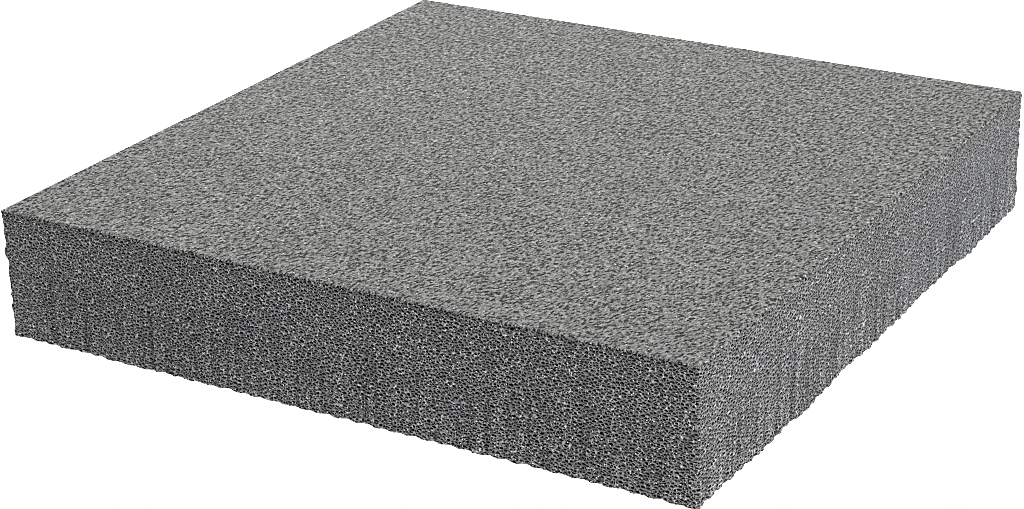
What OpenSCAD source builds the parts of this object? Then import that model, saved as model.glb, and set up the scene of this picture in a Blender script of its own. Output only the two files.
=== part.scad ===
// Foam block: a square cut from a plank of closed-cell polyethylene foam.
// The plank is extruded sheets heat-welded face to face, so the block is one solid piece.
// Origin: centre of the base. X runs along the front edge, Y to the back, Z up.

/* [Plank] */
// Width of the block along its front edge
block_w = 286; // [120:1:600]
// Depth of the block from front to back
block_d = 288; // [120:1:600]
// Thickness of one extruded sheet
sheet_t = 12.7; // [8:0.1:25]
// Number of sheets welded into the plank
sheet_count = 4; // [2:1:6]

/* [Edges] */
// Radius where the top skin rolls over to the cut sides
skin_edge_r = 1.2; // [0.4:0.1:3]
// Radius of the four upright corners
corner_r = 1; // [0.4:0.1:4]
// Depth of the crease along each weld line
weld_depth = 0.25; // [0.1:0.05:1]
// Height of the crease where it opens on the cut side
weld_h = 1; // [0.4:0.05:2]

/* [Saw furrows] */
// Average distance from one furrow to the next
furrow_pitch = 7; // [6:0.5:30]
// Radius of a furrow's hollow
furrow_r = 4; // [2:0.5:8]
// Depth of the deepest furrow, at the lower edge
furrow_depth = 0.6; // [0.2:0.05:1.2]
// Height at which the longest furrow runs out
furrow_reach = 46; // [15:1:48]
// Lean of the furrows from upright, in degrees
furrow_lean = 3; // [0:0.5:10]

/* [Torn lower edge] */
// Radius of the hollow left by a torn flake
tear_r = 7; // [4:0.5:12]
// Depth of the deepest tear, square to the edge
tear_bite = 0.9; // [0.2:0.05:1.5]
// Radius of the rounding worn on the lower corner, back right
worn_r = 15; // [8:1:30]
// Depth of that wear, square to the corner
worn_bite = 1.6; // [0.4:0.1:4]

/* [Hidden] */
$fn = 64;
plank_t = sheet_count * sheet_t;
// How far a cutting solid stands clear of the block
clear = 1;
// Share of the pitch that a mark may wander to either side
wander = 0.22;
// Least depth, reach and tear, as shares of the largest
least_depth = 0.35;
least_reach = 0.45;
least_bite = 0.2;
first_seed = 17;
// A torn hollow has flat flanks, so its rod has few sides
tear_sides = 12;
foam_grey = [0.27, 0.27, 0.28];

// Sides are counted from the front, anticlockwise seen from above
function side_length(side) = side % 2 == 0 ? block_w : block_d;
function side_offset(side) = side_length(side + 1) / 2;
function mark_count(length) = floor(length / furrow_pitch) - 1;

// Square corner with its round taken out, for trimming a corner at the origin to a radius
module round_off(r) {
    difference() {
        translate([-clear, -clear])
            square(r + clear);
        translate([r, r])
            circle(r);
    }
}

// Vertical section of the plank: creased at every weld line, rounded along the top
module plank_section(width) {
    difference() {
        translate([-width / 2, 0])
            square([width, plank_t]);
        for (end = [-1, 1]) {
            translate([end * width / 2, plank_t])
                rotate(end < 0 ? -90 : 180)
                    round_off(skin_edge_r);
            for (line = [1 : sheet_count - 1])
                translate([end * width / 2, line * sheet_t])
                    polygon([
                        [-end * weld_depth, 0],
                        [end * weld_depth, weld_h],
                        [end * weld_depth, -weld_h]
                    ]);
        }
    }
}

// Outline of the block seen from above
module plan_outline() {
    difference() {
        square([block_w, block_d], center = true);
        for (quarter = [0 : 3])
            rotate(90 * quarter)
                translate([-side_length(quarter) / 2, -side_offset(quarter)])
                    round_off(corner_r);
    }
}

// The square of plank before the saw marks: two sections crossed inside the outline
module sawn_square() {
    intersection() {
        rotate([90, 0, 90])
            linear_extrude(block_w + 2 * clear, center = true)
                plank_section(block_d);
        rotate([90, 0, 0])
            linear_extrude(block_d + 2 * clear, center = true)
                plank_section(block_w);
        linear_extrude(plank_t)
            plan_outline();
    }
}

// Hollow left by one saw tooth: a round rod, sunk deepest at the lower edge and clear of the side above
module furrow(depth, reach) {
    translate([0, depth - furrow_r, 0])
        rotate([atan(depth / reach), furrow_lean, 0])
            translate([0, 0, -clear])
                cylinder(r = furrow_r, h = 1.2 * reach + clear);
}

// Hollow left in the lower edge where a flake of foam tore off: a rod laid across the edge at 45 degrees
module tear(bite) {
    out = (tear_r - bite) * cos(45);
    translate([0, -out, -out])
        rotate([45, 0, 0])
            cylinder(r = tear_r, h = 4 * tear_r, center = true, $fn = tear_sides);
}

// Furrows and tears along one side, spread at random about equal steps
module saw_marks(side) {
    length = side_length(side);
    count = mark_count(length);
    step = length / (count + 1);
    seed = first_seed + 10 * side;
    furrow_shift = rands(-wander, wander, count, seed + 1);
    depth_share = rands(least_depth, 1, count, seed + 2);
    reach_share = rands(least_reach, 1, count, seed + 3);
    tear_shift = rands(-wander, wander, count, seed + 4);
    bite_share = rands(least_bite, 1, count, seed + 5);
    for (i = [0 : count - 1]) {
        place = (i + 1) * step - length / 2;
        translate([place + furrow_shift[i] * step, 0, 0])
            furrow(depth_share[i] * furrow_depth, reach_share[i] * furrow_reach);
        translate([place + tear_shift[i] * step, 0, 0])
            tear(bite_share[i] * tear_bite);
    }
}

// Rounding worn on the lower corner at the back right
module worn_corner() {
    out = (worn_r - worn_bite) / sqrt(3);
    translate([block_w / 2 + out, block_d / 2 + out, -out])
        sphere(worn_r);
}

module foam_block() {
    color(foam_grey)
        difference() {
            sawn_square();
            for (side = [0 : 3])
                rotate(90 * side)
                    translate([0, -side_offset(side), 0])
                        saw_marks(side);
            worn_corner();
        }
}

foam_block();
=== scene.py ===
# %% [markdown]
# # A block of closed-cell foam
# The object is one square of charcoal polyethylene foam, 286 x 288 x 51 mm. It was sawn from a
# plank of four extruded sheets that were welded face to face. Its top and underside are the
# sheets' own skin, matt and finely wrinkled. Its four sides are sawn, so they show thousands of
# opened cells, each a dark hollow in a paler net.
#
# The lesson takes the block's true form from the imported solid, gives it a mesh that is fine where
# the eye sees roughness, which is along the edges, and leaves the cells inside the faces to the
# material.

import itertools
import math

import bpy
import numpy as np
from mathutils import Euler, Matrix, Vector
from mathutils.bvhtree import BVHTree


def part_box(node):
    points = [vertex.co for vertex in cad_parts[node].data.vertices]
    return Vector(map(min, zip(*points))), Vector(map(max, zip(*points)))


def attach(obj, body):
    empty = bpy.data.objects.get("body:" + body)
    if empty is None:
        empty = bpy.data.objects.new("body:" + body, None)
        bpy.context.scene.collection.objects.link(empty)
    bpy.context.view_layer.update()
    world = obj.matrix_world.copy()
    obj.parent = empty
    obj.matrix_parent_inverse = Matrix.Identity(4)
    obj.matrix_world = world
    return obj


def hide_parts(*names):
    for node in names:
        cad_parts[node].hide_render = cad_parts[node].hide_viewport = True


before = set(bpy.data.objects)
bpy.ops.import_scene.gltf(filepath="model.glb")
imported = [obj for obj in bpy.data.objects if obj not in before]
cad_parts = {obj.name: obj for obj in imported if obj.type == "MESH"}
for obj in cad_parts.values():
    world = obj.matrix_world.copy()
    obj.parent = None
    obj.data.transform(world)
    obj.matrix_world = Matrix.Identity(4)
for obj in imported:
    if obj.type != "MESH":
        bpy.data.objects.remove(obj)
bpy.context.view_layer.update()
low, high = (np.array(corner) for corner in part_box("foam_block"))
half = (high - low)[:2] / 2
middle = (high + low)[:2] / 2
thickness = high[2] - low[2]
MM = 0.001
print("block", np.round((high - low) / MM, 1), "mm")

# %% [markdown]
# ## What repeats in the foam
# The plank has four sheets of half an inch, so the weld lines lie at the quarters of its height.
# The cells are about 1.3 mm across. These two sizes rule everything that follows.

# %% Sizes of the foam
SHEETS = 4
sheet = thickness / SHEETS
CELL = 1.3 * MM
weld_heights = [low[2] + sheet * k for k in range(1, SHEETS)]
print("weld lines at", np.round(np.array(weld_heights) / MM, 1), "mm")

# %% [markdown]
# ## The block as a stack of loops
# A block could be a subdivided cube, but an even grid fine enough for a sawn edge would need
# millions of faces. Here the whole skin is made of closed loops round the upright axis: outwards
# over the top, down the sides and inwards under the base. Each loop has its own number of points,
# 0.5 mm apart along the edges, where the outline shows every cell, and far fewer in the middle of
# a face, where only the material shows.

# %% Where the loops run
EDGE_POINTS = 2304
SIDE_STEP = 1.5
WELD_ROW = 0.45
edge_rows = [0.5, 1.0, 1.5, 2.2]
inner_rows = [(3.4, 2), (5.0, 2), (8.0, 4), (12.0, 4), (18.0, 8), (27.0, 8)]
inner_rows += [(40.0, 16), (60.0, 16), (90.0, 32)]


def face_rows():
    """Inset in mm from the edge and number of points, for the loops of a level face, inwards."""
    fine = [(inset, EDGE_POINTS) for inset in edge_rows]
    return fine + [(inset, EDGE_POINTS // share) for inset, share in inner_rows]


def side_rows():
    """Height in mm above the base and number of points, for the loops of the sides, downwards."""
    top = thickness / MM
    rows = [(top - drop, EDGE_POINTS) for drop in edge_rows]
    weld_offsets = [WELD_ROW * k for k in (2, 1, 0, -1, -2)]
    welds = sorted(((h - low[2]) / MM for h in weld_heights), reverse=True)
    marks = [top - edge_rows[-1]]
    for weld in welds:
        marks += [weld + offset for offset in weld_offsets]
    marks.append(edge_rows[-1])
    for upper, lower in zip(marks, marks[1:]):
        pieces = max(1, round((upper - lower) / SIDE_STEP))
        rows += [(upper + (lower - upper) * (k + 1) / pieces, EDGE_POINTS // 2) for k in range(pieces)]
    rows = rows[:-1]
    return rows + [(rise, EDGE_POINTS) for rise in reversed(edge_rows)]


def square_loop(inset, height, count):
    """Points round a sharp-edged block, evenly spread on each side, in metres."""
    size = half - inset * MM
    along = np.arange(count // 4) / (count // 4) * 2 - 1
    ones = np.ones_like(along)
    sides = [(along, -ones), (ones, along), (-along, ones), (-ones, -along)]
    plan = np.concatenate([np.stack([x * size[0], y * size[1]], axis=1) for x, y in sides]) + middle
    return np.column_stack([plan, np.full(count, height)])


loops = [square_loop(inset, high[2], count) for inset, count in reversed(face_rows())]
loops.append(square_loop(0, high[2], EDGE_POINTS))
top_edge = len(loops) - 1
loops += [square_loop(0, low[2] + rise * MM, count) for rise, count in side_rows()]
loops.append(square_loop(0, low[2], EDGE_POINTS))
base_edge = len(loops) - 1
loops += [square_loop(inset, low[2], count) for inset, count in face_rows()]
print(len(loops), "loops,", sum(len(loop) for loop in loops), "points")

# %% [markdown]
# ## Laying the loops on the solid
# The furrows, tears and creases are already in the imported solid, so they aren't invented again. A
# ray runs from outside each loop point to the solid, square to a face in its middle and fanned
# round the edges, and the point moves to where the ray lands.

# %% Cast the points onto the solid
FAN = 3 * MM
START = 8 * MM
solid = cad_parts["foam_block"].data
tree = BVHTree.FromPolygons([v.co for v in solid.vertices], [p.vertices for p in solid.polygons])

sharp = np.concatenate(loops)
core_low = np.append(middle - half, low[2]) + FAN
core_high = np.append(middle + half, high[2]) - FAN
core = np.clip(sharp, core_low, core_high)
outward = sharp - core
outward /= np.linalg.norm(outward, axis=1)[:, None]
landed = np.empty_like(sharp)
missed = 0
for k, (foot, way) in enumerate(zip(core, outward)):
    hit = tree.ray_cast(Vector(foot + way * START), Vector(-way))[0]
    missed += hit is None
    landed[k] = sharp[k] if hit is None else hit
print("rays that missed:", missed, "largest move", round(np.abs(landed - sharp).max() / MM, 2), "mm")

# %% [markdown]
# ## Cell-sized roughness
# Where the saw opened the cells, the edge isn't a line but a row of walls and hollows. The foam
# is a packing of rounded cells, and the usual model of one is a jittered grid of centres: a point
# near two centres is on a wall. Walls stand proud and hollows sink. The skin hides the cells, so
# there the same relief is much weaker. It is also weaker along the base, where the block's own
# weight presses the cells flat, and right under the top edge of the three sides that the skin
# laps over.

# %% Relief of the opened cells
SAWN_RELIEF = 0.55 * MM
SKIN_RELIEF = 0.08 * MM
# In cell sizes
WALL_WIDTH = 0.6
# Points above this share of a wall stand out, and those below it are sunk
UNMOVED = 0.6
# The upright corners have a little more relief than the edges, and coarse loops have less
CORNER_REACH = 4 * MM
CORNER_RELIEF = 1.1
COARSE_POWER = 1.5
# What is taken off the relief at the base, and under the lapped skin
PRESSED_HEIGHT = 3 * MM
PRESSED = 0.65
LAPPED_HEIGHT = 1.5 * MM
LAPPED = 0.6


def scatter(corner):
    """Three numbers from 0 to 1 for each grid corner, always the same ones."""
    shuffled = corner @ np.array([[127.1, 269.5, 113.5], [311.7, 183.3, 271.9], [74.7, 246.1, 124.6]])
    return np.modf(np.abs(np.sin(shuffled) * 43758.5453))[0]


def wall_share(points, size):
    """1 on a cell wall, falling to 0 in the middle of a cell."""
    grid = points / size
    home = np.floor(grid)
    near = np.full(len(points), 9.0)
    second = near.copy()
    for step in itertools.product((-1, 0, 1), repeat=3):
        corner = home + np.array(step)
        gap = np.linalg.norm(grid - corner - scatter(corner), axis=1)
        second = np.where(gap < near, near, np.minimum(second, gap))
        near = np.minimum(near, gap)
    return 1 - np.clip((second - near) / WALL_WIDTH, 0, 1)


counts = np.array([len(loop) for loop in loops])
loop_of = np.repeat(np.arange(len(loops)), counts)
side_of = np.concatenate([np.arange(n) * 4 // n for n in counts])
fineness = (counts / EDGE_POINTS)[loop_of]
is_side = (loop_of > top_edge) & (loop_of < base_edge)
from_corner = np.max(half - np.abs(sharp[:, :2] - middle), axis=1)
at_corner = np.clip(1 - from_corner / CORNER_REACH, 0, 1)
above_base = sharp[:, 2] - low[2]
below_top = high[2] - sharp[:, 2]
share = np.maximum(fineness**COARSE_POWER, CORNER_RELIEF * at_corner * is_side)
share *= 1 - PRESSED * np.clip(1 - above_base / PRESSED_HEIGHT, 0, 1)
share *= 1 - LAPPED * np.clip((LAPPED_HEIGHT - below_top) / MM, 0, 1) * is_side * (side_of > 0)
depth = np.where(is_side | (loop_of == base_edge), SAWN_RELIEF, SKIN_RELIEF) * share
relief = (wall_share(landed, CELL) - UNMOVED) * depth
placed = landed + outward * relief[:, None]
print("relief from", round(relief.min() / MM, 2), "to", round(relief.max() / MM, 2), "mm")

# %% [markdown]
# ## The loose lower edge
# The blade came out at the bottom, and there it pushed the foam outwards instead of cutting it
# clean. So the lower few millimetres flare out in uneven lobes, most on the right side. Each lobe
# is a smooth step between random values along the block's perimeter. The upright corners are
# lumpy too, in lumps of about three cells. On the right the lumps stand a little proud, and on
# the left the gaps between them are torn in.

# %% Flare of the lower edge and lumps of the corners
FLARE = 1.1 * MM
FLARE_HEIGHT = 5 * MM
BROAD_SHARE, FINE_SHARE, OUTWARD_SHARE = 1.5, 0.9, 0.1
# Front, right, back and left
FLARE_SHARES = np.array([0.28, 1.0, 0.5, 0.5])
LUMP = 4.2 * MM
LUMP_HEIGHT = 0.8 * MM
# Of a lump's height, how much stands out on the right and on the left; the rest is sunk
PROUD, TORN_IN = 0.8, 0.2
# How far below the top the lumps reach their full height
FADE_RIGHT, FADE_LEFT = 2 * MM, 5 * MM


def lobes(steps, seed):
    """A smooth random value from -0.5 to 0.5 for each point, with so many steps in one turn."""
    picks = np.random.default_rng(seed).random(steps) - 0.5
    turn = np.concatenate([np.arange(n) / n for n in counts]) * steps
    first = np.floor(turn).astype(int)
    part = turn - first
    part = part * part * (3 - 2 * part)
    return picks[first % steps] * (1 - part) + picks[(first + 1) % steps] * part


level = np.column_stack([outward[:, :2], np.zeros(len(outward))])
level /= np.maximum(np.linalg.norm(level, axis=1), 1e-9)[:, None]
from_side = np.min(half - np.abs(sharp[:, :2] - middle), axis=1)
lowness = np.clip(1 - above_base / FLARE_HEIGHT, 0, 1) ** 1.5
lowness *= np.clip(1 - np.where(loop_of > base_edge, from_side, 0) / FLARE_HEIGHT, 0, 1)
broad, fine = lobes(steps=46, seed=3), lobes(steps=110, seed=4)
flare = BROAD_SHARE * broad + FINE_SHARE * fine + OUTWARD_SHARE
flare *= FLARE * FLARE_SHARES[side_of] * lowness
on_left = sharp[:, 0] < middle[0]
lumps = np.where(on_left, TORN_IN, PROUD) - wall_share(landed, LUMP)
lumps *= LUMP_HEIGHT * at_corner * is_side
lumps *= np.clip(below_top / np.where(on_left, FADE_LEFT, FADE_RIGHT), 0, 1)
placed = placed + level * (flare + lumps)[:, None]
print("flare from", round(flare.min() / MM, 2), "to", round(flare.max() / MM, 2), "mm")

# %% [markdown]
# ## What the mesh tells the material
# The finish has to know where the blade left its marks. Each point carries how deep it lies in a
# furrow, whether it is just above or just below a weld line, and its place in the comb of fine
# scratches, which lean as the furrows do; the material paints shade in furrows and scratches, and
# painted highlight and shade at the weld lines. It also carries how near it is to the rolled edge
# of the skin on the right and the left, where the foam is painted darker as painted shade, and
# whether it is on the front, where walls and glints are painted paler as painted highlight.

# %% Values carried by the points
DEEPEST = 0.6 * MM
CREASE = 0.25 * MM
WELD_REACH = 1.0 * MM
LEAN = math.tan(math.radians(3))
COMB_SHORTENING = 0.04
# How wide the painted shade along the rolled edge is: down the sides, and inwards over the skin
ROLL_DOWN = 1.2 * MM
ROLL_IN = 0.6 * MM
from_weld = np.min([np.abs(sharp[:, 2] - h) for h in weld_heights], axis=0)
in_weld = np.clip(1 - from_weld / WELD_REACH, 0, 1)
sunk = ((sharp - landed) * outward).sum(axis=1) - CREASE * in_weld
sunk = np.clip(sunk / DEEPEST, 0, 1) * is_side
weld = np.zeros(len(sharp))
for value in (1, -1):
    row = value * WELD_ROW * MM
    gap = np.min([np.abs(sharp[:, 2] - h - row) for h in weld_heights], axis=0)
    weld = np.where((gap < 0.2 * MM) & is_side, value, weld)
runs = np.array([[1, 0, 0], [0, 1, 0], [-1, 0, 0], [0, -1, 0]])[side_of]
comb = sharp * [1, 1, COMB_SHORTENING] - runs * LEAN * sharp[:, 2:]
from_edge = np.where(is_side, below_top, from_side)
# Where the rolled edge on the right and the left gets painted shade
rolled_edge_shade = np.clip(1.5 - from_edge / np.where(is_side, ROLL_DOWN, ROLL_IN), 0, 1) * (side_of % 2)
print("deepest furrow is", round(sunk.max() * DEEPEST / MM, 2), "mm deep")

# %% [markdown]
# ## Sewing the loops together
# Two loops with the same number of points are joined by quads. Where the count halves, each step
# of the coarser loop takes two steps of the finer one, in three triangles, so no vertex is left
# hanging on an edge.

# %% Faces between the loops
starts = np.concatenate([[0], np.cumsum(counts)])


def sew(first, second):
    """Faces of the band between two loops, wound to face outwards."""
    a, b = starts[first], starts[second]
    m, n = counts[first], counts[second]
    faces = []
    if m == n:
        for k in range(m):
            k2 = (k + 1) % m
            faces.append((a + k, b + k, b + k2, a + k2))
    elif n == 2 * m:
        for k in range(m):
            k2 = (k + 1) % m
            faces.append((a + k, b + 2 * k, b + 2 * k + 1))
            faces.append((a + k, b + 2 * k + 1, a + k2))
            faces.append((a + k2, b + 2 * k + 1, b + (2 * k + 2) % n))
    else:
        for k in range(n):
            k2 = (k + 1) % n
            faces.append((a + 2 * k, b + k, a + 2 * k + 1))
            faces.append((a + 2 * k + 1, b + k, b + k2))
            faces.append((a + 2 * k + 1, b + k2, a + (2 * k + 2) % m))
    return faces


faces = []
bands = []
for k in range(len(loops) - 1):
    band = sew(k, k + 1)
    faces += band
    bands += [k] * len(band)
faces.append(tuple(range(counts[0])))
faces.append(tuple(reversed(range(starts[-2], starts[-1]))))
bands += [0, len(loops) - 2]
print(len(faces), "faces,", sum(len(f) - 2 for f in faces), "triangles")

# %% Make the mesh
mesh = bpy.data.meshes.new("foam_slab")
mesh.from_pydata(placed.tolist(), [], faces)
mesh.update()
slab = bpy.data.objects.new("foam_slab", mesh)
bpy.context.scene.collection.objects.link(slab)
mesh.shade_smooth()
carried = {"furrow": sunk, "weld": weld, "rolled_edge_shade": rolled_edge_shade, "front": (side_of == 0) * is_side}
for name, values in carried.items():
    mesh.attributes.new(name, "FLOAT", "POINT").data.foreach_set("value", values.astype(np.float32))
in_comb = mesh.attributes.new("comb", "FLOAT_VECTOR", "POINT")
in_comb.data.foreach_set("vector", comb.astype(np.float32).ravel())
print("closed mesh:", len(mesh.vertices) - len(mesh.edges) + len(mesh.polygons) == 2)

# %% [markdown]
# ## Node helpers
# Every material is drawn in the block's own coordinates, in metres, so the pattern goes round the
# edges without a break, as a cut through real foam does.


# %% Small helpers for nodes
def new_group(name, inputs, outputs):
    """A shader node group with float or vector sockets, and its input and output nodes."""
    group = bpy.data.node_groups.new(name, "ShaderNodeTree")
    for label, kind, value in inputs:
        socket = group.interface.new_socket(label, in_out="INPUT", socket_type=kind)
        if value is not None:
            socket.default_value = value
    for label, kind in outputs:
        group.interface.new_socket(label, in_out="OUTPUT", socket_type=kind)
    return group, group.nodes.new("NodeGroupInput"), group.nodes.new("NodeGroupOutput")


def feed(tree, value, socket):
    """Links a socket to another, or sets it to a plain value."""
    if isinstance(value, bpy.types.NodeSocket):
        tree.links.new(value, socket)
    else:
        socket.default_value = value


def math_node(tree, operation, first, second):
    """A Math node fed by sockets or plain numbers; gives its output socket."""
    node = tree.nodes.new("ShaderNodeMath")
    node.operation = operation
    for socket, value in zip(node.inputs, (first, second)):
        feed(tree, value, socket)
    return node.outputs[0]


def times(tree, first, second):
    """Two values multiplied; gives the output socket."""
    return math_node(tree, "MULTIPLY", first, second)


def ramp(tree, value, low_in, high_in, low_out=0.0, high_out=1.0, smooth=True):
    """A Map Range node; gives its output socket."""
    node = tree.nodes.new("ShaderNodeMapRange")
    node.interpolation_type = "SMOOTHSTEP" if smooth else "LINEAR"
    items = {"Value": value, "From Min": low_in, "From Max": high_in, "To Min": low_out, "To Max": high_out}
    for name, item in items.items():
        feed(tree, item, node.inputs[name])
    return node.outputs["Result"]


def blend(tree, share, first, second):
    """A colour Mix node; gives its output socket. Its colour sockets share their names with others."""
    first_colour, second_colour, colour_out = 6, 7, 2
    node = tree.nodes.new("ShaderNodeMix")
    node.data_type = "RGBA"
    feed(tree, share, node.inputs["Factor"])
    feed(tree, first, node.inputs[first_colour])
    feed(tree, second, node.inputs[second_colour])
    return node.outputs[colour_out]


def mixed(tree, share, first, second):
    """A number Mix node; gives its output socket."""
    node = tree.nodes.new("ShaderNodeMix")
    for name, item in (("Factor", share), ("A", first), ("B", second)):
        feed(tree, item, node.inputs[name])
    return node.outputs[0]


def noise(tree, vector, scale, detail=2.0, roughness=0.5):
    """A Noise Texture node; gives its value socket."""
    node = tree.nodes.new("ShaderNodeTexNoise")
    feed(tree, vector, node.inputs["Vector"])
    node.inputs["Scale"].default_value = scale
    node.inputs["Detail"].default_value = detail
    node.inputs["Roughness"].default_value = roughness
    return node.outputs["Fac"]


def stretched(tree, vector, scale):
    """The vector multiplied by three numbers, for patterns longer one way than another."""
    node = tree.nodes.new("ShaderNodeVectorMath")
    node.operation = "MULTIPLY"
    feed(tree, vector, node.inputs[0])
    node.inputs[1].default_value = scale
    return node.outputs[0]


def own_coordinates(tree):
    """The block's own coordinates, in metres."""
    return tree.nodes.new("ShaderNodeTexCoord").outputs["Object"]


# %% [markdown]
# ## The net of cells
# Polyethylene foam is a packing of closed cells with walls thinner than paper. A three-
# dimensional Voronoi pattern is that packing, and any cut through it gives the right mix of large
# and small openings. The sheets were rolled flat while they were soft, so the cells are wider
# than they are high, and longest from front to back. In the colour the lower lip of each cell is
# painted pale and its upper part dark, as painted light and painted shade from a lamp above. The
# group puts out where the walls are, a different number for each cell, and how near the lower lip
# is, for that painted light.


# %% Group: cell net
FLATTENED = 0.75
LENGTHENED = 1.18
UNEVEN = 0.7
# From a cell's lower lip, where the light is painted, to its middle
PAINTED_LIGHT_WAY = (0.15, 0.0, 1.0)
CELL_TURN = (0.6, 0.4, 0.7)


def turned(tree, vector, undo=False):
    """The vector turned away from the block's own axes, so that no face cuts the packing along its rows."""
    node = tree.nodes.new("ShaderNodeVectorRotate")
    node.rotation_type = "EULER_XYZ"
    node.invert = undo
    node.inputs["Rotation"].default_value = CELL_TURN
    tree.links.new(vector, node.inputs["Vector"])
    return node.outputs[0]


def make_cell_net():
    """The group that draws a cut through a packing of closed cells."""
    group, source, sink = new_group(
        "cell net",
        [
            ("Vector", "NodeSocketVector", None),
            ("Cells per metre", "NodeSocketFloat", 1 / CELL),
            ("Wall", "NodeSocketFloat", 0.1),
            ("Soft", "NodeSocketFloat", 0.1),
        ],
        [("Walls", "NodeSocketFloat"), ("Cell", "NodeSocketFloat"), ("Painted lip light", "NodeSocketFloat")],
    )
    scaled = group.nodes.new("ShaderNodeVectorMath")
    scaled.operation = "SCALE"
    shape = stretched(group, source.outputs["Vector"], (1.0, 1 / LENGTHENED, 1 / FLATTENED))
    group.links.new(shape, scaled.inputs[0])
    group.links.new(source.outputs["Cells per metre"], scaled.inputs["Scale"])
    where = turned(group, scaled.outputs[0])
    edge = group.nodes.new("ShaderNodeTexVoronoi")
    edge.feature = "DISTANCE_TO_EDGE"
    body = group.nodes.new("ShaderNodeTexVoronoi")
    body.feature = "F1"
    for node in (edge, body):
        node.inputs["Scale"].default_value = 1.0
        node.inputs["Randomness"].default_value = UNEVEN
        group.links.new(where, node.inputs["Vector"])
    wall = source.outputs["Wall"]
    outer = math_node(group, "ADD", wall, source.outputs["Soft"])
    group.links.new(ramp(group, edge.outputs["Distance"], wall, outer, 1.0, 0.0), sink.inputs["Walls"])
    tell = group.nodes.new("ShaderNodeSeparateColor")
    group.links.new(body.outputs["Color"], tell.inputs[0])
    group.links.new(tell.outputs[0], sink.inputs["Cell"])
    below = group.nodes.new("ShaderNodeVectorMath")
    below.operation = "SUBTRACT"
    group.links.new(body.outputs["Position"], below.inputs[0])
    group.links.new(where, below.inputs[1])
    along = group.nodes.new("ShaderNodeVectorMath")
    along.operation = "DOT_PRODUCT"
    group.links.new(turned(group, below.outputs[0], undo=True), along.inputs[0])
    along.inputs[1].default_value = PAINTED_LIGHT_WAY
    # How near the lower lip is, for the painted light and shade of each cell
    group.links.new(ramp(group, along.outputs["Value"], -0.1, 0.45), sink.inputs["Painted lip light"])
    return group


cell_net = make_cell_net()
print("group", cell_net.name, "has", len(cell_net.nodes), "nodes")

# %% [markdown]
# ## Glints and mottling, shared by both finishes
# Torn and stretched walls are glossy, and a few that would face the light are painted into the
# colour as white specks, painted glints. Over a few centimetres the foam is a little lighter or
# darker, and here and there a touch cooler.


# %% Group: glints
def make_glints():
    """The group that picks a few small round spots, in crowds, for painted glints."""
    group, source, sink = new_group(
        "glints",
        [
            ("Vector", "NodeSocketVector", None),
            ("Specks per metre", "NodeSocketFloat", 1500.0),
            ("Share", "NodeSocketFloat", 0.03),
        ],
        [("Specks", "NodeSocketFloat")],
    )
    specks = group.nodes.new("ShaderNodeTexVoronoi")
    specks.feature = "F1"
    group.links.new(source.outputs["Vector"], specks.inputs["Vector"])
    group.links.new(source.outputs["Specks per metre"], specks.inputs["Scale"])
    tell = group.nodes.new("ShaderNodeSeparateColor")
    group.links.new(specks.outputs["Color"], tell.inputs[0])
    crowd = noise(group, source.outputs["Vector"], 120.0, 2.0)
    here = times(group, ramp(group, crowd, 0.35, 0.65, 0.2, 1.8), source.outputs["Share"])
    chosen = math_node(group, "GREATER_THAN", tell.outputs[0], math_node(group, "SUBTRACT", 1.0, here))
    round_spot = ramp(group, specks.outputs["Distance"], 0.25, 0.5, 1.0, 0.0)
    group.links.new(times(group, chosen, round_spot), sink.inputs["Specks"])
    return group


# %% Group: mottle
def make_mottle():
    """The group that makes the foam lighter, darker or cooler over a few centimetres."""
    group, source, sink = new_group(
        "mottle",
        [("Vector", "NodeSocketVector", None), ("Strength", "NodeSocketFloat", 0.1)],
        [("Shade", "NodeSocketFloat"), ("Cool", "NodeSocketFloat")],
    )
    clouds = noise(group, source.outputs["Vector"], 45.0, 3.0)
    centred = math_node(group, "SUBTRACT", clouds, 0.5)
    shade = times(group, centred, source.outputs["Strength"])
    group.links.new(math_node(group, "ADD", shade, 1.0), sink.inputs["Shade"])
    cool = noise(group, stretched(group, source.outputs["Vector"], (1, 1, 1.4)), 70.0, 2.0)
    group.links.new(ramp(group, cool, 0.56, 0.72), sink.inputs["Cool"])
    return group


glints = make_glints()
mottle = make_mottle()
print("groups", glints.name, "and", mottle.name, "are ready")


# %% Place a group in a material
def place(tree, group, vector, **values):
    """Adds a group node, fed with the block's coordinates, with its other inputs set by name."""
    node = tree.nodes.new("ShaderNodeGroup")
    node.node_tree = group
    tree.links.new(vector, node.inputs["Vector"])
    for name, value in values.items():
        node.inputs[name.replace("_", " ")].default_value = value
    return node


def scaled_colour(tree, colour, factor):
    """A colour times a number that varies over the surface."""
    node = tree.nodes.new("ShaderNodeVectorMath")
    node.operation = "SCALE"
    feed(tree, colour, node.inputs[0])
    feed(tree, factor, node.inputs["Scale"])
    return node.outputs[0]


def start_material(name):
    """A new material, its node tree and the shader in it."""
    material = bpy.data.materials.new(name)
    material.use_nodes = True
    tree = material.node_tree
    return material, tree, tree.nodes["Principled BSDF"]


def bump(tree, height, distance):
    """A Bump node; gives its normal socket."""
    node = tree.nodes.new("ShaderNodeBump")
    node.inputs["Distance"].default_value = distance
    feed(tree, height, node.inputs["Height"])
    return node.outputs["Normal"]


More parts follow.
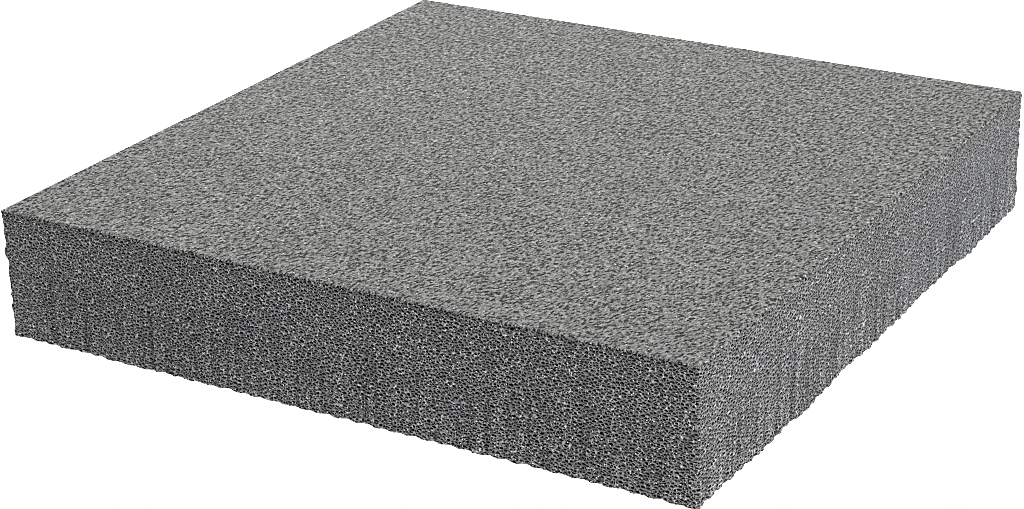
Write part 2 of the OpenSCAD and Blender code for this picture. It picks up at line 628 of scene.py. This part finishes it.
# %% [markdown]
# ## The sawn sides
# The saw opened the cells. Their walls show as a pale net, and the hollows behind it get little
# light, so they are painted dark, as painted shade. Some openings still have a membrane a little
# way in, so they are dark grey and not black. The blade bent some walls over their cells, more of
# them towards the back and the left, and the net is fainter there. It stretched others, and these
# are the palest; on the front they are painted paler still, as painted highlight. In its furrows
# and along its fine scratches the cells lie deeper, and they are painted darker there, as painted
# shade. Below each weld line a thin ridge gets a painted highlight, and above it painted shade.
# The sides are painted lighter towards the base, as painted light from the floor, and darker
# towards the top and along the rolled edge on the right and the left, as painted shade.
#
# The shade of the net is multiplied by one factor for each mark, so a mark can be changed without
# touching the others. A factor above 1 is lighter, and one below 1 is darker.


# %% Read what the mesh carries
def marked(tree, name, output="Fac"):
    """A value that the mesh carries from point to point."""
    node = tree.nodes.new("ShaderNodeAttribute")
    node.attribute_name = name
    return node.outputs[output]


def parts_of(tree, vector):
    """The three numbers of a vector."""
    node = tree.nodes.new("ShaderNodeSeparateXYZ")
    feed(tree, vector, node.inputs[0])
    return node.outputs


def shaded(tree, shade, factors):
    """A shade multiplied by each of the factors."""
    for factor in factors:
        shade = times(tree, shade, factor)
    return shade


# %% Shades of the saw marks
# Painted shade in the furrows, and a touch lighter beside them
BESIDE_FURROW, IN_FURROW = 1.05, 0.8
# Painted highlight below each weld line and painted shade above it
PAINTED_LIGHT_BELOW_WELD, PAINTED_SHADE_ABOVE_WELD = 1.4, 0.7
# Painted light low on the sides and painted shade high on them
PAINTED_LIGHT_AT_BASE, PAINTED_SHADE_AT_TOP = 1.04, 0.86
# Painted light from the floor, lighter towards the base
PAINTED_FLOOR_LIGHT, PAINTED_FLOOR_LIGHT_REACH = 1.24, 0.4 * thickness
# Scratches per metre, how much painted shade they take off low and high on a side, and their share on the
# front
SCRATCHES = 430.0
SCRATCHED_LOW, SCRATCHED_HIGH = 0.42, 0.06
SCRATCHED_FRONT = 0.8
# Without scratches the other sides are lighter than the front
UNSCRATCHED, UNSCRATCHED_FRONT = 1.11, 0.97
# Painted shade along the rolled edge of the sides
PAINTED_EDGE_SHADE_SIDE = 0.8


def saw_shades(tree, height, in_front):
    """Factors of painted light and shade: for the furrows, weld lines, height, the lower edge, scratches
    and rolled edge.
    """
    furrow = ramp(tree, marked(tree, "furrow"), 0.0, 0.7, BESIDE_FURROW, IN_FURROW, smooth=False)
    weld_light_and_shade = ramp(tree, marked(tree, "weld"), -1.0, 1.0, PAINTED_LIGHT_BELOW_WELD, PAINTED_SHADE_ABOVE_WELD, smooth=False)
    # Painted light low on a side, painted shade high on it
    rise = ramp(tree, height, low[2], high[2], PAINTED_LIGHT_AT_BASE, PAINTED_SHADE_AT_TOP, smooth=False)
    # Painted light from the floor near the base
    floor_light = ramp(tree, height, low[2], low[2] + PAINTED_FLOOR_LIGHT_REACH, PAINTED_FLOOR_LIGHT, 1.0)
    # Painted shade along the fine scratches
    scratch = ramp(tree, noise(tree, marked(tree, "comb", "Vector"), SCRATCHES, 2.0, 0.6), 0.55, 0.38)
    strength = ramp(tree, height, 0.1 * thickness, 0.85 * thickness, SCRATCHED_LOW, SCRATCHED_HIGH)
    strength = times(tree, strength, ramp(tree, in_front, 0.0, 1.0, 1.0, SCRATCHED_FRONT))
    unscratched = ramp(tree, in_front, 0.0, 1.0, UNSCRATCHED, UNSCRATCHED_FRONT)
    scratched = math_node(tree, "SUBTRACT", unscratched, times(tree, scratch, strength))
    # Painted shade along the rolled edge
    painted_edge_shade = ramp(tree, marked(tree, "rolled_edge_shade"), 0.0, 1.0, 1.0, PAINTED_EDGE_SHADE_SIDE, smooth=False)
    return furrow, weld_light_and_shade, rise, floor_light, scratched, painted_edge_shade


# %% Shade of the walls and hollows
# A hollow is painted from black, as painted shade, up to this where a membrane shows
MEMBRANE = 0.05
WALL, STRETCHED_WALL = 0.29, 0.51
# Stretched walls on the front, painted paler as painted highlight, from its right end to its left
FRONT_RIGHT_HIGHLIT_WALL, FRONT_LEFT_HIGHLIT_WALL = 0.74, 0.52
# How much of the net is hidden by walls that are bent over
BENT_LEFT, BENT_FRONT, BENT_BACK = 0.15, 0.06, 0.42


def net_shade(tree, where, pale, cell, bent, in_front):
    """From the painted shade of a hollow to the pale of a wall, which is brightest where it is stretched
    and is painted paler still on the front, as painted highlight.
    """
    painted_hollow_shade = ramp(tree, cell, 0.0, 1.0, 0.0, MEMBRANE, smooth=False)
    stretch = ramp(tree, noise(tree, where, 800.0, 1.0), 0.45, 0.8)
    front_highlit_wall = ramp(tree, bent, BENT_FRONT, BENT_LEFT, FRONT_RIGHT_HIGHLIT_WALL, FRONT_LEFT_HIGHLIT_WALL, smooth=False)
    wall = mixed(tree, stretch, WALL, mixed(tree, in_front, STRETCHED_WALL, front_highlit_wall))
    return mixed(tree, pale, painted_hollow_shade, wall)


# %% Material: sawn cells
# A cut misses the middle of most cells, so the net is drawn a little larger
NET_SCALE = 0.9
BENT_SHADE = 0.36
# How strong the painted light on each cell's lower lip is
PAINTED_LIP_LIGHT_SHARE = 0.65
PLAIN, COOL = (1.0, 1.0, 1.0, 1), (0.955, 0.99, 1.08, 1)
# Share and whiteness of the painted glints on the sides
GLINT_SHARE, GLINT_SHARE_FRONT = 0.035, 0.06
GLINT, GLINT_FRONT = 0.66, 0.86


def make_sawn():
    """The finish of the four sides."""
    material, tree, shader = start_material("sawn cells")
    where = own_coordinates(tree)
    across, deep, height = parts_of(tree, where)
    in_front = marked(tree, "front")
    net = place(tree, cell_net, where, Cells_per_metre=NET_SCALE / CELL, Wall=0.0, Soft=0.17)
    painted_glints = place(tree, glints, where, Specks_per_metre=1500.0)
    tone = place(tree, mottle, where, Strength=0.3)

    to_back = ramp(tree, deep, low[1], high[1], BENT_FRONT, BENT_BACK, smooth=False)
    to_left = ramp(tree, across, high[0], low[0], 0.0, BENT_LEFT, smooth=False)
    bent = math_node(tree, "MAXIMUM", to_back, to_left)
    painted_lip_light = times(tree, net.outputs["Painted lip light"], PAINTED_LIP_LIGHT_SHARE)
    pale = mixed(tree, bent, math_node(tree, "MAXIMUM", net.outputs["Walls"], painted_lip_light), BENT_SHADE)
    shade = net_shade(tree, where, pale, net.outputs["Cell"], bent, in_front)
    shade = shaded(tree, shade, (tone.outputs["Shade"], *saw_shades(tree, height, in_front)))

    cool = math_node(tree, "MAXIMUM", times(tree, tone.outputs["Cool"], 0.7), to_back)
    cool = times(tree, cool, ramp(tree, height, high[2] - 0.3 * thickness, high[2], 1.0, 0.25))
    foam = scaled_colour(tree, blend(tree, cool, PLAIN, COOL), shade)
    # Painted glints, more of them and whiter on the front, as painted highlight
    glint_share = ramp(tree, in_front, 0.0, 1.0, GLINT_SHARE, GLINT_SHARE_FRONT)
    tree.links.new(glint_share, painted_glints.inputs["Share"])
    glint_white = scaled_colour(tree, (1.0, 1.0, 1.0), ramp(tree, in_front, 0.0, 1.0, GLINT, GLINT_FRONT))
    unbent = ramp(tree, bent, 0.0, 0.35, 1.0, 0.1, smooth=False)
    lit = blend(tree, times(tree, painted_glints.outputs["Specks"], unbent), foam, glint_white)
    tree.links.new(lit, shader.inputs["Base Color"])
    tree.links.new(ramp(tree, pale, 0.0, 1.0, 0.7, 0.45), shader.inputs["Roughness"])
    shader.inputs["Specular IOR Level"].default_value = 0.1
    tree.links.new(bump(tree, pale, 0.35 * MM), shader.inputs["Normal"])
    return material


# %% [markdown]
# ## The skin
# The top and underside never met the saw. The extruder left a closed skin there, which shrank as
# it cooled into short wrinkles that run mostly from front to back, a little to the right. They
# are finest at the front, and get a little coarser and fainter towards the back. Each valley is
# painted with a fine dark line, as painted shade, each crest is painted a little paler, as painted
# light, and a finer grain lies between them. Along its rolled edges on the right and the left the
# skin is painted darker, as painted shade.


# %% Pattern of the wrinkles
WRINKLE_TURN = math.radians(15)
WRINKLE_STRETCH = 0.5
FRONT_FOLDS, BACK_FOLDS, GRAINS = 1250.0, 850.0, 1700.0


def along_wrinkles(tree, where):
    """Coordinates in which the wrinkles, which are longer than wide, come out round."""
    turn = tree.nodes.new("ShaderNodeVectorRotate")
    turn.rotation_type = "Z_AXIS"
    turn.inputs["Angle"].default_value = WRINKLE_TURN
    tree.links.new(where, turn.inputs["Vector"])
    return stretched(tree, turn.outputs[0], (1.0, WRINKLE_STRETCH, 1.0))


def even_mix(tree, share, first, second):
    """Two noises mixed, then stretched about 0.5, because a mix of two is flatter than either."""
    rest = math_node(tree, "SUBTRACT", 1.0, share)
    stretch = math_node(tree, "ADD", 1.0, times(tree, times(tree, share, rest), 1.64))
    level = math_node(tree, "SUBTRACT", mixed(tree, share, first, second), 0.5)
    return math_node(tree, "ADD", times(tree, level, stretch), 0.5)


# %% Material: wrinkled skin
# The painted shade a valley takes off, and the painted light a crest adds
PAINTED_VALLEY_SHADE, PAINTED_CREST_LIGHT = 0.78, 0.58
GRAIN_DARK, GRAIN_LIGHT = 0.75, 1.25
FADED_AT_BACK, FADED_SHADE = 0.32, 0.87
# Painted shade along the rolled edge of the skin
PAINTED_EDGE_SHADE_SKIN = 0.82
WARM_GREY, COOL_GREY = (0.2795, 0.2785, 0.27, 1), (0.2765, 0.2775, 0.2745, 1)
# Whiteness of the painted glints on the skin
SKIN_GLINT = (0.7, 0.7, 0.7, 1)


def make_skin():
    """The finish of the top and the underside."""
    material, tree, shader = start_material("wrinkled skin")
    where = own_coordinates(tree)
    painted_glints = place(tree, glints, where, Specks_per_metre=1100.0, Share=0.055)
    tone = place(tree, mottle, where, Strength=0.2)

    folded = along_wrinkles(tree, where)
    to_back = ramp(tree, parts_of(tree, where)[1], low[1], high[1], smooth=False)
    front_fold, back_fold = (noise(tree, folded, scale, 1.5, 0.55) for scale in (FRONT_FOLDS, BACK_FOLDS))
    fold = even_mix(tree, to_back, front_fold, back_fold)
    grain = noise(tree, folded, GRAINS, 1.0, 0.5)
    # Painted shade in the valleys and painted light on the crests
    valley_shade = times(tree, ramp(tree, fold, 0.46, 0.39), PAINTED_VALLEY_SHADE)
    crest_light = times(tree, ramp(tree, fold, 0.5, 0.62), PAINTED_CREST_LIGHT)
    shade = math_node(tree, "ADD", math_node(tree, "SUBTRACT", 1.0, valley_shade), crest_light)
    shade = times(tree, shade, ramp(tree, grain, 0.3, 0.7, GRAIN_DARK, GRAIN_LIGHT, smooth=False))
    shade = mixed(tree, times(tree, to_back, FADED_AT_BACK), shade, FADED_SHADE)
    # Painted shade along the rolled edge
    painted_edge_shade = ramp(tree, marked(tree, "rolled_edge_shade"), 0.0, 1.0, 1.0, PAINTED_EDGE_SHADE_SKIN, smooth=False)
    shade = shaded(tree, shade, (tone.outputs["Shade"], painted_edge_shade))

    foam = scaled_colour(tree, blend(tree, tone.outputs["Cool"], WARM_GREY, COOL_GREY), shade)
    # White specks painted into the colour as glints
    lit = blend(tree, painted_glints.outputs["Specks"], foam, SKIN_GLINT)
    tree.links.new(lit, shader.inputs["Base Color"])
    shader.inputs["Roughness"].default_value = 0.6
    shader.inputs["Specular IOR Level"].default_value = 0.25
    rise = math_node(tree, "ADD", fold, times(tree, grain, 0.2))
    tree.links.new(bump(tree, rise, 1.2 * MM), shader.inputs["Normal"])
    return material


# %% [markdown]
# ## Which face gets which finish
# The skin ends where the saw came through, a little way down the rounded top edge. The line isn't
# straight: it follows the cells, so each small face there is given to one side or the other by
# the cell that it is in. Along the front the skin ends at the edge, and over the other three
# sides it laps about half a millimetre down.

# %% Finish of each face
for make in (make_skin, make_sawn):
    mesh.materials.append(make())
SKIN, SAWN = 0, 1
SIDE_LAP = 1.2
RAGGED = 2.2
centres = np.array([p.center[:] for p in mesh.polygons])
band_of = np.array(bands)
raggedness = (wall_share(centres, CELL) - 0.5) * RAGGED
behind_front = centres[:, 1] > low[1] + 1 * MM
skin_end = top_edge + raggedness + np.where(behind_front, SIDE_LAP, 0)
base_end = base_edge - 1 + raggedness * 0.5
finish = np.where((band_of < skin_end) | (band_of > base_end), SKIN, SAWN)
mesh.polygons.foreach_set("material_index", finish.astype(np.int32))
print("materials:", [material.name for material in mesh.materials])
print("faces with skin:", int((finish == SKIN).sum()), "sawn:", int((finish == SAWN).sum()))

# %% Join the block to the frame
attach(slab, "root")
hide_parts("foam_block")
print(slab.name, "rides on root and replaces foam_block")

# %% [markdown]
# ## Floor and light
# The block lies on a plain pale floor under soft studio light. A broad light overhead, behind and
# to the left, gives the top its even grey. A second one on the right keeps that side nearly as
# light as the top, and leaves the front darker. The floor is a hair below the base and see-
# through from below, so the underside can be seen too.


# %% Floor
FLOOR_REACH = 6.0
FLOOR_GAP = 0.2 * MM


def make_floor():
    """A plain white square, wide enough to fill the view."""
    floor_mesh = bpy.data.meshes.new("floor")
    height = low[2] - FLOOR_GAP
    turns = ((-1, -1), (1, -1), (1, 1), (-1, 1))
    corners = [(x * FLOOR_REACH, y * FLOOR_REACH, height) for x, y in turns]
    floor_mesh.from_pydata(corners, [], [(0, 1, 2, 3)])
    floor = bpy.data.objects.new("floor", floor_mesh)
    bpy.context.scene.collection.objects.link(floor)
    material, tree, shader = start_material("pale floor")
    shader.inputs["Base Color"].default_value = (0.9, 0.9, 0.9, 1)
    shader.inputs["Roughness"].default_value = 0.9
    shader.inputs["Specular IOR Level"].default_value = 0.1
    shader.inputs["Emission Color"].default_value = (1, 1, 1, 1)
    shader.inputs["Emission Strength"].default_value = 0.8
    from_below = tree.nodes.new("ShaderNodeNewGeometry").outputs["Backfacing"]
    tree.links.new(math_node(tree, "SUBTRACT", 1.0, from_below), shader.inputs["Alpha"])
    floor_mesh.materials.append(material)


make_floor()
print("floor is", 2 * FLOOR_REACH, "m wide,", round(FLOOR_GAP / MM, 1), "mm below the base")


# %% Lights
def area_light(name, place_at, size, power):
    """A square soft light that faces the block."""
    data = bpy.data.lights.new(name, "AREA")
    data.size = size
    data.energy = power
    lamp = bpy.data.objects.new(name, data)
    lamp.location = place_at
    lamp.rotation_euler = (-Vector(place_at)).to_track_quat("-Z", "Y").to_euler()
    bpy.context.scene.collection.objects.link(lamp)


area_light("overhead", place_at=(-0.8, 1.0, 1.4), size=0.8, power=23.9)
area_light("right side", place_at=(1.7, -0.3, 0.6), size=1.0, power=17.4)
world = bpy.data.worlds.new("studio")
bpy.context.scene.world = world
world.use_nodes = True
surround = world.node_tree.nodes["Background"]
surround.inputs["Color"].default_value = (1, 1, 1, 1)
surround.inputs["Strength"].default_value = 0.2
print("lights:", [lamp.name for lamp in bpy.data.lights])

# %% [markdown]
# ## The camera
# The camera has a long lens and looks from low in front of the right corner, so two sides and the
# top show. It aims at a point on the top face, in the front half and a little right of the
# middle, and is tilted slightly.

# %% Camera
AZIMUTH, ELEVATION, ROLL = math.radians(31.41), math.radians(23.08), math.radians(-1.68)
AIM = Vector((0.0457, -0.0939, 0.0507))
DISTANCE = 0.8565
FOCAL_LENGTH = 87.15
lens = bpy.data.cameras.new("camera")
lens.lens = FOCAL_LENGTH
lens.sensor_width = 36
camera = bpy.data.objects.new("camera", lens)
back = Vector(
    (math.sin(AZIMUTH) * math.cos(ELEVATION), -math.cos(AZIMUTH) * math.cos(ELEVATION), math.sin(ELEVATION))
)
camera.location = AIM + back * DISTANCE
camera.rotation_euler = Euler((math.pi / 2 - ELEVATION, 0, AZIMUTH))
camera.rotation_euler.rotate_axis("Z", ROLL)
bpy.context.scene.collection.objects.link(camera)
bpy.context.scene.camera = camera
bpy.context.scene.view_settings.view_transform = "Standard"
print("camera at", np.round(camera.location, 3), "m")

# %% [markdown]
# ## The finish of the picture
# A photograph of such a fine pattern is sharpened when it is made small, and without that step
# the cells would melt to an even grey. A blurred picture is taken from the sharp one, and what is
# left, the fine detail, is added again at one and a half times its strength. The white floor
# counts as mid grey in the blur, or the block would get a dark rim against it. A denoiser would
# wipe out the same detail, so it stays off.

# %% Sharpen the picture
SHARPEN = 1.5
BLUR_PIXELS = 3
BACKGROUND = 0.6
SCREEN_GAMMA = 2.2
PIXEL_FILTER = 1.3


def finish_picture(scene):
    """Compositor nodes that add the picture's fine detail again, in the screen's own tones."""
    scene.cycles.use_denoising = False
    scene.cycles.filter_width = PIXEL_FILTER
    scene.use_nodes = True
    tree = scene.node_tree
    tree.nodes.clear()

    def gamma(picture, power):
        node = tree.nodes.new("CompositorNodeGamma")
        node.inputs["Gamma"].default_value = power
        tree.links.new(picture, node.inputs["Image"])
        return node.outputs[0]

    def mix(kind, first, second, clamp=False):
        node = tree.nodes.new("CompositorNodeMixRGB")
        node.blend_type = kind
        node.use_clamp = clamp
        node.inputs["Fac"].default_value = 1.0
        feed(tree, first, node.inputs[1])
        feed(tree, second, node.inputs[2])
        return node.outputs[0]

    picture = gamma(tree.nodes.new("CompositorNodeRLayers").outputs["Image"], 1 / SCREEN_GAMMA)
    picture = mix("MIX", picture, picture, clamp=True)
    soft = tree.nodes.new("CompositorNodeBlur")
    soft.filter_type = "GAUSS"
    soft.size_x = soft.size_y = BLUR_PIXELS
    tree.links.new(mix("DARKEN", picture, (BACKGROUND, BACKGROUND, BACKGROUND, 1)), soft.inputs["Image"])
    detail = mix("SUBTRACT", picture, soft.outputs[0])
    stronger = mix("MULTIPLY", detail, (SHARPEN, SHARPEN, SHARPEN, 1))
    sharpened = mix("ADD", picture, stronger, clamp=True)
    output = tree.nodes.new("CompositorNodeComposite")
    tree.links.new(gamma(sharpened, SCREEN_GAMMA), output.inputs["Image"])


finish_picture(bpy.context.scene)
